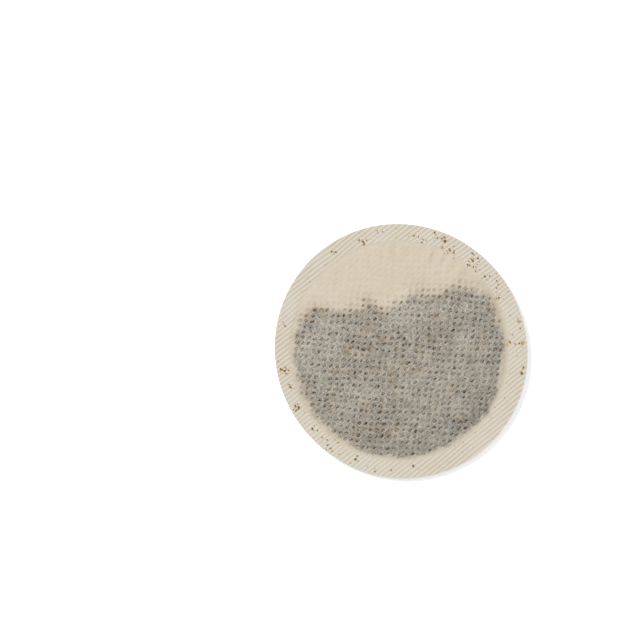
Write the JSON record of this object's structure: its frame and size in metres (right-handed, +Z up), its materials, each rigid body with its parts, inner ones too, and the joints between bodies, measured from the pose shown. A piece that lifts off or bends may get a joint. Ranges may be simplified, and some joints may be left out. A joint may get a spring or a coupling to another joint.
{
  "type": "round tea bag",
  "caption": "Round tea bag: discs of cream filter paper welded round a ribbed edge, with loose tea closed between them.",
  "frame": {"origin": "on the table, under the middle of the cut disc", "axes": "+Z up, square to the weld; +Y towards the side of the pocket that the tea has slid away from; +X to the right with +Y away from the viewer"},
  "size_m": [0.0598, 0.0602, 0.0056],
  "materials": {
    "filter_paper": "thin matt cream heat-seal paper, pressed with a fine mesh",
    "dried_tea": "dry broken tea leaf, dark brown with a few tan and orange pieces"
  },
  "bodies": {
    "root": {"upper_paper": "filter_paper", "lower_paper": "filter_paper", "tea_leaves": "dried_tea"}
  },
  "joints": []
}
